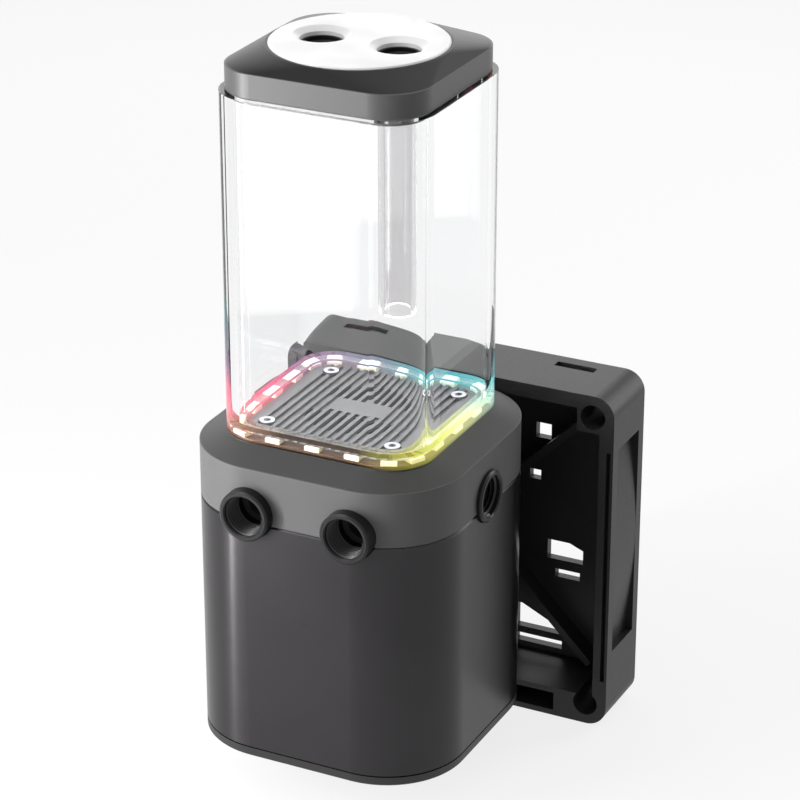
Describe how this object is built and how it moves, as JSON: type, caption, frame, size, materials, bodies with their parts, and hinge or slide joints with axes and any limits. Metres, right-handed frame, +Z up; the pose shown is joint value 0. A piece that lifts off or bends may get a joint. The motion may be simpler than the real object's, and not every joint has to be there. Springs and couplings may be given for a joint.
{
  "type": "coolant pump reservoir",
  "caption": "Rounded-square liquid-cooling pump with a clear lit reservoir and drop tube, threaded coolant ports on its front, side and top, and a square fan-size mounting bracket behind",
  "frame": {"origin": "centre of the pump body, at the underside of its base plate", "axes": "+X to the right along the front, +Y to the back, where the bracket is, and +Z up"},
  "size_m": [0.12, 0.1223, 0.2445],
  "materials": {
    "base_black": "moulded, fine matte",
    "cover_grey": "satin, dark grey anodised",
    "body_grey": "machined, fine matte",
    "cap_grey": "satin, dark grey anodised",
    "port_black": "black, smooth",
    "disc_white": "white, smooth",
    "clear_acrylic": "clear, polished",
    "frosted_acrylic": "clear, lit from inside",
    "led_white": "lit",
    "deck_metal": "brushed",
    "steel": "zinc plated",
    "dark_steel": "blackened",
    "rubber_black": "black rubber",
    "rubber_pale": "pale silicone",
    "can_steel": "drawn stainless steel",
    "ceramic_white": "ground",
    "impeller_blue": "moulded",
    "carbon_grey": "carbon graphite",
    "ferrite": "sintered",
    "core_steel": "stacked sheet steel",
    "copper": "enamelled copper wire",
    "inner_black": "moulded, black",
    "board_green": "solder mask",
    "board_brown": "solder mask",
    "spacer_brass": "turned",
    "bridge_black": "moulded, black",
    "bracket_black": "moulded, fine matte black"
  },
  "bodies": {
    "pump": {"base_plate": "base_black", "tie_screws": "dark_steel", "tie_sleeves": "steel", "cover_front": "cover_grey", "cover_right": "cover_grey", "cover_back": "cover_grey", "cover_left": "cover_grey", "cable_grommet": "rubber_black", "volute_ring": "inner_black", "body_floor": "body_grey", "body_front": "body_grey", "body_right": "body_grey", "body_back": "body_grey", "body_left": "body_grey", "left_port": "port_black", "right_port": "port_black", "side_port": "port_black", "pump_seal": "rubber_black", "separator_can": "can_steel", "bearing_shaft": "ceramic_white", "thrust_washer": "ceramic_white", "stator_core": "core_steel", "stator_coils": "copper", "motor_housing": "inner_black", "clamp_ring": "inner_black", "clamp_screws": "steel", "controller_board": "board_green", "board_parts": "inner_black", "board_spacers": "spacer_brass", "board_screws": "steel", "guide_seal": "rubber_pale", "led_board": "board_brown", "leds": "led_white", "light_guide": "frosted_acrylic", "deck_plate": "deck_metal", "deck_screws": "steel", "reservoir_tube": "clear_acrylic", "cap_seal": "rubber_black", "top_cap": "cap_grey", "port_disc": "disc_white", "drop_tube": "clear_acrylic", "mount_bridge": "bridge_black", "bridge_screws": "steel", "damping_bushes": "rubber_black", "bracket_screws": "steel", "fan_bracket": "bracket_black"},
    "rotor": {"impeller": "impeller_blue", "rotor_bushes": "carbon_grey", "rotor_magnet": "ferrite"}
  },
  "joints": [
    {"name": "impeller_spin", "type": "hinge", "parent": "pump", "child": "rotor", "pos_m": [0, 0, 0.0568], "axis": [0, 0, 1], "continuous": true}
  ]
}
